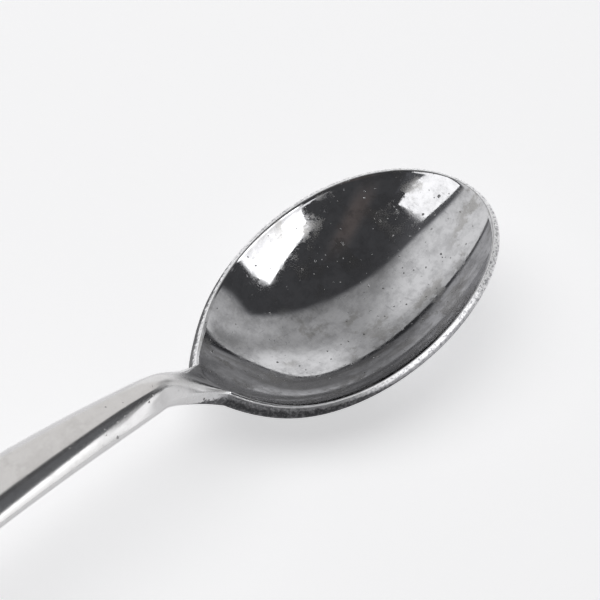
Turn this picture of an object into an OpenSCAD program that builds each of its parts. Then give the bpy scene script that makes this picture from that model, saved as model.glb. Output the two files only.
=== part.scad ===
// Teaspoon: a hollowed bowl, a narrow neck that rises from the bowl's heel,
// a stem that widens over a low arch, and a broad rounded handle end.
// X runs from the handle end to the bowl's tip, Z is up, Y = 0 is the mirror plane.

/* [Part] */
// Which node is drawn

/* [Bowl] */
// Length of the hollow at the rim
bowl_length = 45; // [36:0.5:60]
// Width of the hollow at the rim
bowl_width = 30.7; // [24:0.5:42]
// Depth of the hollow below the rim
bowl_depth = 8.2; // [5:0.1:13]
// Thickness of the metal in the bowl
wall_thickness = 1.15; // [0.8:0.05:2]
// Part of its thickness that the wall gains at the heel, under the neck
heel_gain_share = 0.8; // [0:0.05:1.2]
// How much of a half circle the hollow's profile follows
bowl_roundness_share = 0.83; // [0.6:0.01:0.95]
// How far the long sides of the rim stand above tip and heel
side_rise = 0.3; // [0:0.05:1]
// How far the rim bends down at the tip and up at the heel
rim_bend = 1.5; // [0:0.1:3]
// How far the rim climbs the neck at the heel
heel_climb = 4.6; // [2:0.1:6]
// How far the heel's outline runs out to a point
heel_point = 2.3; // [0:0.1:4]
// Part of its width that the heel's half has more than the tip's half
egg_share = 0.02; // [0:0.01:0.08]
// Angle of the rim above level, tip up
bowl_tilt = 12.5; // [6:0.5:16]

/* [Neck] */
// Width of the neck at its narrowest section
neck_width = 4.7; // [3.6:0.1:9]
// Thickness of the neck at its narrowest section
neck_thickness = 4; // [2:0.1:6]
// Distance from the bowl's heel to the narrowest section
neck_reach = 8; // [7:0.5:14]
// Height of the neck's top face above the heel
neck_rise = 5.7; // [3:0.1:8]
// Slope of the top face at the narrowest section, up towards the handle
neck_slope = 10; // [0:1:20]
// Slope of the top face where it leaves the heel
heel_slope = 40; // [10:1:60]
// Angle of the rim, to each side of the heel, that the neck covers
heel_spread = 12; // [12:4:24]

/* [Handle] */
// Distance from the narrowest section to the place where the stem ends
stem_length = 38; // [20:1:70]
// Width where the stem ends
stem_width = 9.8; // [6:0.1:18]
// Thickness where the stem ends
stem_thickness = 4; // [1.4:0.1:6]
// Rise of the top face from the narrowest section to the stem's end
stem_rise = 1.8; // [0:0.1:4]
// Slope of the top face where the stem ends, down towards the handle's tip
stem_slope = 5; // [0:1:15]
// Distance from the stem's end to the tip of the handle
end_length = 55.5; // [30:0.5:80]
// Width of the handle end at its broadest
end_width = 18; // [10:0.1:30]
// Thickness of the handle end
end_thickness = 2; // [1.2:0.1:3.5]
// Length of the rounded outline at the tip of the handle
end_round = 9.5; // [4:0.5:20]
// Length of the flat part that the handle end rests on
rest_length = 7; // [5:0.5:20]
// Part of the thickness that stands upright along the handle's edge
edge_share = 0.5; // [0.3:0.05:0.8]

/* [Detail] */
// Divisions round the rim
rim_divisions = 90; // [45:45:180]
// Divisions from the middle of the bowl to the rim
bowl_rings = 16; // [8:8:24]
// Cross sections along the neck
neck_sections = 12; // [6:1:30]
// Cross sections along the stem
stem_sections = 12; // [6:1:40]
// Cross sections along the handle end
end_sections = 16; // [8:1:60]

/* [Hidden] */
steel = [0.76, 0.77, 0.79];
right_angle = 90;
half_turn = 180;
full_turn = 360;
// Small steps used to find the direction of the wall
share_step = 0.001;
angle_step = 0.05;
// The edge of the rim keeps this share of the wall before it rounds over
land_share = 0.78;
// Rings of the outer wall under the neck, counted from the rim
patch_share = 0.25;
heel_rings = round(bowl_rings * patch_share);
rim_angle = full_turn / rim_divisions;
heel_columns = 2 * round(heel_spread / rim_angle);
heel_first = half_turn - heel_columns / 2 * rim_angle;
heel_rows = heel_rings + 2;
profile_floor = sqrt(1 - pow(bowl_roundness_share, 2));
// Powers that keep the heel's climb near the heel and near the rim, and the thick wall in the heel's half
heel_narrowness = 12;
rim_nearness = 6;
gain_narrowness = 3;

// A point of the hollow: share s of the way to the rim, at the angle a from the tip
function hollow(s, a) =
    let (drop = (sqrt(1 - pow(bowl_roundness_share * s, 2)) - profile_floor) / (1 - profile_floor))
    let (heel = pow(max(0, -cos(a)), heel_narrowness) * pow(s, rim_nearness))
    [
        bowl_length / 2 * s * cos(a) - heel_point * heel,
        bowl_width / 2 * s * sin(a) * (1 - egg_share * cos(a)),
        side_rise * pow(s * sin(a), 2) - rim_bend * pow(s * cos(a), 3)
            + heel_climb * heel - bowl_depth * drop
    ];

function unit(v) = v / norm(v);

// Direction out of the wall, away from the hollow
function outward(s, a) =
    s < share_step
        ? [0, 0, -1]
        : unit(cross(
            hollow(s, a + angle_step) - hollow(s, a - angle_step),
            hollow(s, a) - hollow(s - share_step, a)));

function wall(s, a) =
    wall_thickness * (1 + heel_gain_share * pow(max(0, -cos(a)), gain_narrowness) * s * s);

function outer(s, a, share = 1) = hollow(s, a) + wall(s, a) * share * outward(s, a);

// Turns the bowl's own frame into the level frame, tip up
function tilted(p) = [
    p[0] * cos(bowl_tilt) - p[2] * sin(bowl_tilt),
    p[1],
    p[0] * sin(bowl_tilt) + p[2] * cos(bowl_tilt)
];

function ring_share(i) = i / bowl_rings;

// The rim's outer corner is rounded by starting the outer wall a little below it
corner_drop_share = 0.2;
corner_share = 1 - corner_drop_share / bowl_rings;
function wall_share(i) = i == bowl_rings ? corner_share : ring_share(i);

// Height that brings the lowest point of the bowl down to the table
outer_points = [
    for (i = [0:bowl_rings])
        for (j = [0:rim_divisions - 1])
            tilted(outer(wall_share(i), j * rim_angle))
];
lift = -min([for (p = outer_points) p[2]]);
heel_top = tilted(hollow(1, half_turn)) + [0, 0, lift];

// Stations of the handle's top line: [x, z] in the level frame
neck_x = heel_top[0] - neck_reach;
neck_z = heel_top[2] + neck_rise;
stem_x = neck_x - stem_length;
stem_z = neck_z + stem_rise;
end_x = stem_x - end_length;
rest_x = end_x + rest_length;
// The end's underside starts just below the table level and is cut flat there
rest_cut_share = 0.1;
rest_z = end_thickness * (1 - rest_cut_share);
end_start_slope = -tan(stem_slope);

tip_x = max([for (p = outer_points) p[0]]);
middle_x = (tip_x + end_x) / 2;

function placed(p) = tilted(p) + [-middle_x, 0, lift];

function hermite(p0, m0, p1, m1, t) =
    (2 * pow(t, 3) - 3 * pow(t, 2) + 1) * p0
    + (pow(t, 3) - 2 * pow(t, 2) + t) * m0
    + (3 * pow(t, 2) - 2 * pow(t, 3)) * p1
    + (pow(t, 3) - pow(t, 2)) * m1;

function blend(a, b, t) = a + (b - a) * t;
function smooth(t) = t * t * (3 - 2 * t);

// Top line of the stem and of the handle end as [x, z]
function stem_line(t) =
    hermite(
        [neck_x, neck_z], [-stem_length, tan(neck_slope) * stem_length],
        [stem_x, stem_z], [-stem_length, end_start_slope * stem_length], t);

fall_length = stem_x - rest_x;
function end_line(x) =
    x < rest_x
        ? rest_z
        : hermite(
            stem_z, end_start_slope * fall_length,
            rest_z, 0, (stem_x - x) / fall_length);

// Outline of the handle: half width at a place along the end
function end_half(x) =
    let (t = (stem_x - x) / (end_length - end_round))
    let (flare = hermite(stem_width / 2, (stem_width - neck_width) / 2, end_width / 2, 0, min(t, 1)))
    let (v = max(0, (end_x + end_round - x) / end_round))
    flare * arch(v);

// The tip of the outline ends blunt over this share of the broadest width
blunt_share = 0.06;
// Power of the curve that crowns the top face and rounds the tip's outline
crown_power = 2.3;
// Parts of the thickness that round the lower edge, and of the side that stays upright
bevel_share = 0.16;
upright_share = 0.6;
function arch(u) = pow(max(0, 1 - pow(abs(u), crown_power)), 1 / crown_power);

function top_point(c, half, crown, edge) =
    let (u = -cos(c / heel_columns * half_turn))
    let (reach = abs(u) > 1 - share_step ? sign(u) : u)
    [-reach * half, edge + crown * arch(reach)];

// One cross section as a closed loop with as many points as the edge of the heel patch:
// across the crowned top, down one side, back along the underside, up the other side
function loop_2d(half, thick, crown_scale) =
    let (edge = thick * edge_share, crown = (thick - edge) * crown_scale)
    let (bevel = thick * bevel_share)
    let (under = half - bevel)
    concat(
        [for (c = [0:heel_columns]) top_point(c, half, crown, edge)],
        [for (r = [1:heel_rows]) side_point(r, half, edge, bevel)],
        [for (c = [1:heel_columns]) [-under + 2 * under * c / heel_columns, 0]],
        [for (r = [1:heel_rows - 1]) mirror_y(side_point(heel_rows - r, half, edge, bevel))]
    );

function side_point(r, half, edge, bevel) =
    let (t = r / heel_rows)
    t < upright_share
        ? [-half, edge + (bevel - edge) * t / upright_share]
        : let (a = (t - upright_share) / (1 - upright_share) * right_angle)
          [-half + bevel * (1 - cos(a)), bevel * (1 - sin(a))];

function mirror_y(p) = [-p[0], p[1]];

// Sets a loop across the handle at [x, z] of its top line, square to the slope there
function set_loop(loop, x, z, thick, slope) = [
    for (p = loop)
        let (h = p[1] - thick)
        [x - h * sin(slope) - middle_x, p[0], z + h * cos(slope)]
];

// How fast the stem widens from its narrowest section on, as a share of its mean widening
early_flare_share = 1.2;
neck_loop = set_loop(
    loop_2d(neck_width / 2, neck_thickness, 1), neck_x, neck_z, neck_thickness, -neck_slope);

function stem_loop(t) =
    let (q = stem_line(t), q2 = stem_line(t + share_step), q1 = stem_line(t - share_step))
    let (slope = atan((q2[1] - q1[1]) / (q1[0] - q2[0])))
    let (thick = blend(neck_thickness, stem_thickness, smooth(t)))
    let (flare = stem_width - neck_width)
    let (half = hermite(neck_width, early_flare_share * flare, stem_width, flare, t) / 2)
    set_loop(loop_2d(half, thick, 1), q[0], q[1], thick, -slope);

function end_loop(x) =
    let (d = end_length * share_step)
    let (slope = atan((end_line(x - d) - end_line(x + d)) / (2 * d)))
    let (t = min(1, (stem_x - x) / fall_length))
    let (thick = blend(stem_thickness, end_thickness, smooth(t)))
    let (v = max(0, (end_x + end_round - x) / end_round))
    let (sink = thick * (1 - edge_share) * (1 - arch(v)))
    set_loop(
        loop_2d(max(end_half(x), end_width * blunt_share), thick, arch(v)),
        x, end_line(x) - sink, thick - sink, -slope);

// The heel patch: the strip of rim and outer wall that the neck grows from
function patch(r, c) =
    let (a = heel_first + c * rim_angle)
    placed(
        r == 0 ? hollow(1, a)
        : r == 1 ? outer(1, a, land_share)
        : outer(wall_share(bowl_rings - (r - 2)), a));

function patch_edge() = concat(
    [for (c = [0:heel_columns]) [0, c]],
    [for (r = [1:heel_rows]) [r, heel_columns]],
    [for (c = [1:heel_columns]) [heel_rows, heel_columns - c]],
    [for (r = [1:heel_rows - 1]) [heel_rows - r, 0]]
);

// Direction and reach with which a line of the neck leaves the patch
neck_up = [-cos(heel_slope), 0, sin(heel_slope)];
// The lines leave the wall at a shallow angle: this share of their way is straight out of it
clear_share = 0.25;
// How much of the top face's and of the wall's own direction the lines beside them take on
below_top_share = 0.45;
along_share = 0.9;
climb_share = 0.6;
side_power = 6;
low_power = 5;
// Reach of the lines as a share of the neck's: top face, sides, underside, far end
top_reach_share = 0.5;
side_reach_share = 0.32;
under_reach_share = 1.2;
far_reach_share = 0.9;
function wall_out(r, c) =
    tilted(outward(wall_share(bowl_rings - max(0, r - 2)), heel_first + c * rim_angle));
function leave(rc) =
    let (r = rc[0], c = rc[1])
    let (u = 2 * c / heel_columns - 1, v = r / heel_rows)
    let (inward_c = c + (u < 0 ? 1 : -1))
    let (along = unit(patch(r, inward_c) - patch(r, c)))
    let (climb = unit(patch(max(r, 3) - 1, c) - patch(max(r, 3), c)))
    let (side = pow(abs(u), side_power), low = pow(v, low_power))
    let (top = r == 0 ? 1 : r == 1 ? below_top_share : 0)
    let (d = unit(
        top * neck_up
        + side * along * (r == 0 ? along_share : 1)
        + low * climb * (r == heel_rows ? 1 : climb_share)
        + (r == 0 ? 0 : clear_share) * wall_out(r, c)))
    d * neck_reach * (r == 0 ? top_reach_share : blend(side_reach_share, under_reach_share, low));

// Sideways share of the lines' direction where they reach the stem, for each mm beside the middle
neck_flare = early_flare_share * (stem_width / neck_width - 1) / stem_length;
edge_points = patch_edge();
function neck_loop_at(t) = [
    for (i = [0:len(edge_points) - 1])
        hermite(
            patch(edge_points[i][0], edge_points[i][1]),
            leave(edge_points[i]),
            neck_loop[i],
            neck_reach * far_reach_share * [-1, neck_loop[i][1] * neck_flare, tan(neck_slope)],
            t)
];

// Faces that join two neighbouring loops of n points; first is the index of the first loop
function loop_faces(n, loops, first = 0) = [
    for (k = [0:loops - 2])
        for (i = [0:n - 1])
            let (j = (i + 1) % n, a = first + k * n, b = a + n)
            each [[a + i, a + j, b + j], [a + i, b + j, b + i]]
];

function fan(n, first, centre, flip) = [
    for (i = [0:n - 1])
        let (j = (i + 1) % n)
        flip ? [first + i, first + j, centre] : [first + j, first + i, centre]
];

loop_count = len(edge_points);

module bowl() {
    inner = [
        for (i = [1:bowl_rings])
            for (j = [0:rim_divisions - 1])
                placed(hollow(ring_share(i), j * rim_angle))
    ];
    land = [for (j = [0:rim_divisions - 1]) placed(outer(1, j * rim_angle, land_share))];
    wall = [
        for (i = [bowl_rings:-1:1])
            for (j = [0:rim_divisions - 1])
                placed(outer(wall_share(i), j * rim_angle))
    ];
    all_points = concat(inner, land, wall, [placed(hollow(0, 0)), placed(outer(0, 0))]);
    n = rim_divisions;
    loops = 2 * bowl_rings + 1;
    centre = loops * n;
    color(steel)
        polyhedron(
            points = all_points,
            faces = concat(
                loop_faces(n, loops),
                fan(n, 0, centre, false),
                fan(n, centre - n, centre + 1, true)),
            convexity = 6);
}

module neck() {
    loops = [for (k = [1:neck_sections]) neck_loop_at(k / neck_sections)];
    rows = [for (r = [0:heel_rows]) for (c = [0:heel_columns]) patch(r, c)];
    width = heel_columns + 1;
    base = len(rows);
    edge_index = [for (e = edge_points) e[0] * width + e[1]];
    cap = [
        for (r = [0:heel_rows - 1])
            for (c = [0:heel_columns - 1])
                let (a = r * width + c, b = a + width)
                each [[a, b + 1, a + 1], [a, b, b + 1]]
    ];
    first_strip = [
        for (i = [0:loop_count - 1])
            let (j = (i + 1) % loop_count)
            each [[edge_index[i], edge_index[j], base + j], [edge_index[i], base + j, base + i]]
    ];
    centre = base + loop_count * neck_sections;
    color(steel)
        polyhedron(
            points = concat(
                rows,
                [for (l = loops) each l],
                [middle(neck_loop)]),
            faces = concat(
                cap,
                first_strip,
                loop_faces(loop_count, neck_sections, base),
                fan(loop_count, centre - loop_count, centre, true)),
            convexity = 6);
}

module rod(loops, start, finish) {
    n = loop_count;
    all_points = concat([for (l = loops) each l], [start, finish]);
    last = (len(loops) - 1) * n;
    polyhedron(
        points = all_points,
        faces = concat(
            loop_faces(n, len(loops)),
            fan(n, 0, last + n, false),
            fan(n, last, last + n + 1, true)),
        convexity = 6);
}

stem_end_loop = stem_loop(1);
// A point inside the section: halfway from one top corner to the far bottom corner
function middle(loop) = (loop[0] + loop[heel_columns + heel_rows]) / 2;

module stem() {
    loops = concat(
        [neck_loop],
        [for (k = [1:stem_sections]) stem_loop(k / stem_sections)]);
    color(steel)
        rod(loops, middle(neck_loop), middle(stem_end_loop));
}

module handle_end() {
    straight = end_length - end_round;
    half_count = round(end_sections / 2);
    loops = concat(
        [stem_end_loop],
        [for (k = [1:half_count]) end_loop(stem_x - straight * k / half_count)],
        [for (k = [1:half_count])
            end_loop(end_x + end_round * (1 - sin(right_angle * k / half_count)))]);
    last_loop = loops[len(loops) - 1];
    color(steel)
        difference() {
            rod(loops, middle(stem_end_loop), middle(last_loop));
            translate([end_x - middle_x - end_length, -end_width, -end_thickness * 2])
                cube([end_length * 3, end_width * 2, end_thickness * 2]);
        }
}

bowl();
neck();
stem();
handle_end();
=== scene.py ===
# %% [markdown]
# # Teaspoon
# A polished steel teaspoon: one stamped piece of metal with an oval hollow, a slim neck and a widening
# handle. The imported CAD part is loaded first. It gives the frame that everything below is built in, in
# metres.

# %% Load the CAD part and measure it
import bpy
import bmesh
import math
import numpy as np
from functools import partial
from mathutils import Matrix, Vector


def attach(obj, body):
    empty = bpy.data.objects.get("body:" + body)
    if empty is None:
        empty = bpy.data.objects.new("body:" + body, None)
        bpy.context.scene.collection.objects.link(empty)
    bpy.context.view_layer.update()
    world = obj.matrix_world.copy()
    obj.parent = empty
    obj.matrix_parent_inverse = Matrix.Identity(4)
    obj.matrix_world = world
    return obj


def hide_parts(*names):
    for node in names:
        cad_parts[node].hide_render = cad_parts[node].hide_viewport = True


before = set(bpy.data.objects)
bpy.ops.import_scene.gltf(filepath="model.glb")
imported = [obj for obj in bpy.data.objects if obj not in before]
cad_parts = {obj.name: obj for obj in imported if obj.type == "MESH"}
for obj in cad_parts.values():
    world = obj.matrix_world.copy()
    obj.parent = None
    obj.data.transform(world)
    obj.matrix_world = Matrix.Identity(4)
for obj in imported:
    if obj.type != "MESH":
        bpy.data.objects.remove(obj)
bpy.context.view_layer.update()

MM = 0.001

# %% [markdown]
# The camera looks down at the bowl from the handle's side. Its angles come from fitting the rim's ellipse to
# the photograph, and its distance gives the mild perspective of a close picture. The handle leaves the
# picture on the left.

# %% Camera fitted to the photograph
VIEW_AZIMUTH = math.radians(-42.29)
VIEW_ELEVATION = math.radians(46.97)
VIEW_DISTANCE = 450 * MM
VIEW_TARGET = Vector((45.30, 2.57, 10.12)) * MM
VIEW_CLIP = (10 * MM, 10.0)
FOCAL_PIXELS = 3366
PICTURE_PIXELS = 600
SENSOR_WIDTH = 36

view_back = Vector((
    math.sin(VIEW_AZIMUTH) * math.cos(VIEW_ELEVATION),
    -math.cos(VIEW_AZIMUTH) * math.cos(VIEW_ELEVATION),
    math.sin(VIEW_ELEVATION)))
camera_data = bpy.data.cameras.new("camera")
camera_data.sensor_width = SENSOR_WIDTH
camera_data.lens = FOCAL_PIXELS / PICTURE_PIXELS * SENSOR_WIDTH
camera_data.clip_start, camera_data.clip_end = VIEW_CLIP
camera = bpy.data.objects.new("camera", camera_data)
bpy.context.scene.collection.objects.link(camera)
camera.location = VIEW_TARGET + view_back * VIEW_DISTANCE
camera.rotation_euler = view_back.to_track_quat("Z", "Y").to_euler()
bpy.context.scene.camera = camera
bpy.context.scene.view_settings.view_transform = "Standard"
print("lens", round(camera_data.lens, 1), "mm")

# %% [markdown]
# Node trees are written with one small function. It makes a node, sets it, and gives each input a fixed
# value or a link. A word after the kind, as in "Math ADD", is the node's mode, and a node that is given as a
# value stands for its first output. For one tree the function is shortened with `partial`, which fills in
# the tree.

# %% Helper for node trees
MODES = {"Math": "operation", "VectorMath": "operation", "MapRange": "interpolation_type", "Mix": "data_type"}


def add_node(tree, kind, *values, inputs=None, **settings):
    """Adds a node and joins the values to its sockets, in their order or by name."""
    kind, _, mode = kind.partition(" ")
    node = tree.nodes.new(kind if "Node" in kind else "ShaderNode" + kind)
    if mode:
        settings[MODES[kind]] = mode
    for name, value in settings.items():
        setattr(node, name, value)
    for key, value in [*enumerate(values), *(inputs or {}).items()]:
        if isinstance(value, bpy.types.Node):
            value = value.outputs[0]
        if isinstance(value, bpy.types.NodeSocket):
            tree.links.new(value, node.inputs[key])
        else:
            node.inputs[key].default_value = value
    return node


print("kinds of node that have a mode", list(MODES))

# %% [markdown]
# ## The bowl's hollow
# A spoon's hollow is pressed into the blank by a punch, so it follows a smooth rule: an egg-shaped outline
# whose depth runs like part of a circle. At the heel the rim climbs the neck and draws out to a point. It
# could be modelled by hand, but a rule keeps the mirror free of ripples. One node group gives the point of
# the hollow at a share of the way to the rim and an angle round it.

# %% Node group: one point of the hollow
BOWL = {
    "Length": 45 * MM,
    "Width": 30.7 * MM,
    "Depth": 8.2 * MM,
    "Roundness": 0.83,
    "Side Rise": 0.3 * MM,
    "Rim Bend": 1.5 * MM,
    "Heel Climb": 4.6 * MM,
    "Heel Point": 2.3 * MM,
    "Egg Share": 0.02,
}
HEEL_NARROWNESS = 12
RIM_NEARNESS = 6


def add_float(group, name, value):
    socket = group.interface.new_socket(name, in_out="INPUT", socket_type="NodeSocketFloat")
    socket.default_value = value
    return socket


def hollow_group():
    group = bpy.data.node_groups.new("hollow point", "GeometryNodeTree")
    for name in ("Share", "Angle", *BOWL):
        add_float(group, name, BOWL.get(name, 0.0))
    group.interface.new_socket("Point", in_out="OUTPUT", socket_type="NodeSocketVector")
    add = partial(add_node, group)
    get = add("NodeGroupInput").outputs

    share, cosine, sine = get["Share"], add("Math COSINE", get["Angle"]), add("Math SINE", get["Angle"])
    along, across = add("Math MULTIPLY", share, cosine), add("Math MULTIPLY", share, sine)
    back = add("Math MAXIMUM", add("Math MULTIPLY", cosine, -1.0), 0.0)
    heel = add(
        "Math MULTIPLY", add("Math POWER", back, HEEL_NARROWNESS), add("Math POWER", share, RIM_NEARNESS),
    )
    bent = add("Math MULTIPLY", get["Roundness"], share)
    floor = add("Math SQRT", add("Math SUBTRACT", 1.0, add("Math POWER", get["Roundness"], 2.0)))
    curve = add("Math SQRT", add("Math SUBTRACT", 1.0, add("Math POWER", bent, 2.0)))
    drop = add("Math DIVIDE", add("Math SUBTRACT", curve, floor), add("Math SUBTRACT", 1.0, floor))
    x = add("Math MULTIPLY", add("Math MULTIPLY", get["Length"], 0.5), along)
    x = add("Math SUBTRACT", x, add("Math MULTIPLY", get["Heel Point"], heel))
    egg = add("Math SUBTRACT", 1.0, add("Math MULTIPLY", get["Egg Share"], cosine))
    y = add("Math MULTIPLY", add("Math MULTIPLY", add("Math MULTIPLY", get["Width"], 0.5), across), egg)
    z = add("Math MULTIPLY", get["Side Rise"], add("Math POWER", across, 2.0))
    bend = add("Math MULTIPLY", add("Math MULTIPLY", along, along), along)
    z = add("Math SUBTRACT", z, add("Math MULTIPLY", get["Rim Bend"], bend))
    z = add("Math ADD", z, add("Math MULTIPLY", get["Heel Climb"], heel))
    z = add("Math SUBTRACT", z, add("Math MULTIPLY", get["Depth"], drop))
    point = add("CombineXYZ", x, y, z).outputs[0]
    add("NodeGroupOutput", inputs={"Point": point})
    return group


HOLLOW = hollow_group()
print("hollow point group", len(HOLLOW.nodes), "nodes")

# %% [markdown]
# ## The bowl's shell
# The wall is the same sheet all round, thicker at the heel where the metal of the neck was. One grid is bent
# into the whole shell: its rows run from the middle of the hollow to the rim, over the ground edge, and down
# the outside. A Solidify modifier would give a wall too, but not the thick heel or the full ground edge.
# This cell names the sizes and makes both ends of the tree: its inputs, and the steps that finish the mesh.

# %% Sizes of the shell and the ends of its tree
SHELL = {
    "Wall": 1.15 * MM,
    "Heel Gain": 0.8,
    "Edge Bulge": 0.14 * MM,
    "Tilt": math.radians(12.5),
    "Middle": 52.035 * MM,
    "Lift": 10.12 * MM,
}
ROWS = {"Columns": 360, "Hollow Rows": 72, "Edge Rows": 14, "Wall Rows": 56}
MERGE_DISTANCE = 0.001 * MM


def start_shell_tree():
    """The tree with its named inputs and its output."""
    tree = bpy.data.node_groups.new("spoon shell", "GeometryNodeTree")
    for name, value in (BOWL | SHELL).items():
        add_float(tree, name, value)
    for name, value in ROWS.items():
        socket = tree.interface.new_socket(name, in_out="INPUT", socket_type="NodeSocketInt")
        socket.default_value = value
    tree.interface.new_socket("Material", in_out="INPUT", socket_type="NodeSocketMaterial")
    tree.interface.new_socket("Geometry", in_out="OUTPUT", socket_type="NodeSocketGeometry")
    return tree


def finish_shell_tree(tree, flow, row, column, placed, material):
    """Keeps each point's row and column, moves the points to their places, and gives the material."""
    for name, value in (("row", row), ("column", column)):
        flow = add_node(tree, "GeometryNodeStoreNamedAttribute", inputs={
            "Geometry": flow, "Name": name, "Value": value,
        }, data_type="FLOAT", domain="POINT").outputs[0]
    for kind, inputs in (
        ("GeometryNodeSetPosition", {"Position": placed}),
        ("GeometryNodeMergeByDistance", {"Distance": MERGE_DISTANCE}),
        ("GeometryNodeSetShadeSmooth", {}),
        ("GeometryNodeRealizeInstances", {}),
        ("GeometryNodeSetMaterial", {"Material": material}),
    ):
        flow = add_node(tree, kind, inputs={"Geometry": flow} | inputs).outputs[0]
    add_node(tree, "NodeGroupOutput", inputs={"Geometry": flow})


print("shell rows", ROWS)

# %% [markdown]
# Between the two ends each point of the grid finds its place. Its row says how far it is into the hollow,
# over the edge or down the outer wall, and its column says the angle. The outer wall is the hollow moved
# along its own normal, which two small steps of the hollow's group give.

# %% Geometry Nodes tree: the shell
GAIN_NARROWNESS = 3
EDGE_SQUARENESS = 6
STEP_SHARE = 0.004
STEP_ANGLE = math.radians(0.5)


def shell_tree():
    tree = start_shell_tree()
    add = partial(add_node, tree)
    get = add("NodeGroupInput").outputs

    rows = add("Math ADD", add("Math ADD", get["Hollow Rows"], get["Edge Rows"]), get["Wall Rows"])
    grid = add("GeometryNodeMeshGrid", inputs={
        "Size X": 1.0,
        "Size Y": 1.0,
        "Vertices X": add("Math ADD", rows, 1.0),
        "Vertices Y": add("Math ADD", get["Columns"], 1.0),
    })
    position = add("GeometryNodeInputPosition").outputs[0]
    place = add("SeparateXYZ", position)
    row = add("Math ROUND", add("Math MULTIPLY", add("Math ADD", place.outputs[0], 0.5), rows))
    column = add("Math ROUND", add("Math MULTIPLY", add("Math ADD", place.outputs[1], 0.5), get["Columns"]))
    angle = add("Math MULTIPLY", add("Math DIVIDE", column, get["Columns"]), 2 * math.pi)

    inner = add("Math MINIMUM", add("Math DIVIDE", row, get["Hollow Rows"]), 1.0)
    past_rim = add("Math SUBTRACT", row, get["Hollow Rows"])
    edge = add("Math MAXIMUM", add("Math MINIMUM", add("Math DIVIDE", past_rim, get["Edge Rows"]), 1.0), 0.0)
    past_edge = add("Math SUBTRACT", past_rim, get["Edge Rows"])
    outer = add("Math MAXIMUM", add("Math DIVIDE", past_edge, get["Wall Rows"]), 0.0)
    share = add("Math SUBTRACT", inner, outer)
    across = add(
        "Math MULTIPLY",
        add("Math SUBTRACT", 1.0, add("Math COSINE", add("Math MULTIPLY", edge, math.pi))),
        0.5,
    )
    swing = add("Math ABSOLUTE", add("Math SUBTRACT", add("Math MULTIPLY", across, 2.0), 1.0))
    bulge = add(
        "Math MULTIPLY",
        get["Edge Bulge"],
        add("Math SUBTRACT", 1.0, add("Math POWER", swing, EDGE_SQUARENESS)),
    )

    def point(at_share, at_angle):
        inputs = {name: get[name] for name in BOWL} | {"Share": at_share, "Angle": at_angle}
        return add("GeometryNodeGroup", inputs=inputs, node_tree=HOLLOW)

    # The wall's own directions, and the point moved along them.
    safe = add("Math MAXIMUM", share, 2 * STEP_SHARE)
    here = point(share, angle)
    up_wall = add(
        "VectorMath SUBTRACT", point(safe, angle), point(add("Math SUBTRACT", safe, STEP_SHARE), angle),
    )
    ahead = point(safe, add("Math ADD", angle, STEP_ANGLE))
    behind = point(safe, add("Math SUBTRACT", angle, STEP_ANGLE))
    outward = add(
        "VectorMath NORMALIZE",
        add("VectorMath CROSS_PRODUCT", add("VectorMath SUBTRACT", ahead, behind), up_wall),
    )
    back = add("Math MAXIMUM", add("Math MULTIPLY", add("Math COSINE", angle), -1.0), 0.0)
    gain = add(
        "Math MULTIPLY",
        add("Math MULTIPLY", get["Heel Gain"], add("Math POWER", back, GAIN_NARROWNESS)),
        add("Math POWER", share, 2.0),
    )
    wall = add("Math MULTIPLY", get["Wall"], add("Math ADD", 1.0, gain))
    moved = add(
        "VectorMath ADD",
        here,
        add("VectorMath SCALE", outward, inputs={"Scale": add("Math MULTIPLY", wall, across)}),
    )
    moved = add(
        "VectorMath ADD",
        moved,
        add("VectorMath SCALE", add("VectorMath NORMALIZE", up_wall), inputs={"Scale": bulge}),
    )
    turned = add("VectorRotate", inputs={
        "Vector": moved,
        "Angle": add("Math MULTIPLY", get["Tilt"], -1.0),
    }, rotation_type="Y_AXIS").outputs[0]
    offset = add("CombineXYZ", inputs={0: get["Middle"], 2: get["Lift"]}).outputs[0]
    placed = add("VectorMath ADD", turned, offset)
    finish_shell_tree(tree, grid.outputs[0], row, column, placed, get["Material"])
    return tree


SHELL_TREE = shell_tree()
print("shell tree", len(SHELL_TREE.nodes), "nodes")

# %% [markdown]
# The tree is run once on an empty host and its result is kept as a plain mesh. The material goes in through
# the modifier's own input, so that the tree doesn't name it. The row and the column that each point came
# from are read back, because the neck is sewn on by them.

# %% Bake the shell
def bake(tree, material):
    host = bpy.data.objects.new("shell host", bpy.data.meshes.new("shell host"))
    bpy.context.scene.collection.objects.link(host)
    modifier = host.modifiers.new("shell", "NODES")
    modifier.node_group = tree
    for item in tree.interface.items_tree:
        if item.in_out == "INPUT" and item.name == "Material":
            modifier[item.identifier] = material
    graph = bpy.context.evaluated_depsgraph_get()
    mesh = bpy.data.meshes.new_from_object(host.evaluated_get(graph))
    host.modifiers.clear()
    bpy.data.objects.remove(host)
    return mesh


steel = bpy.data.materials.new("polished stainless steel")
steel.use_nodes = True
shell_mesh = bake(SHELL_TREE, steel)
count = len(shell_mesh.vertices)
shell_points = np.zeros(count * 3)
shell_mesh.vertices.foreach_get("co", shell_points)
shell_points = shell_points.reshape(-1, 3) / MM
shell_rows, shell_columns = np.zeros(count), np.zeros(count)
shell_mesh.attributes["row"].data.foreach_get("value", shell_rows)
shell_mesh.attributes["column"].data.foreach_get("value", shell_columns)
print("shell", count, "points, lowest", round(float(shell_points[:, 2].min()), 3), "mm")

# %% [markdown]
# ## Where the neck grows from
# The neck and the bowl are one metal, so the neck's first ring of points is the border of a patch of the
# shell at the heel: the hollow's edge on top, and part of the outer wall below. Everything that follows has
# as many points in a ring as this border, so that the two join point by point.

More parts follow.
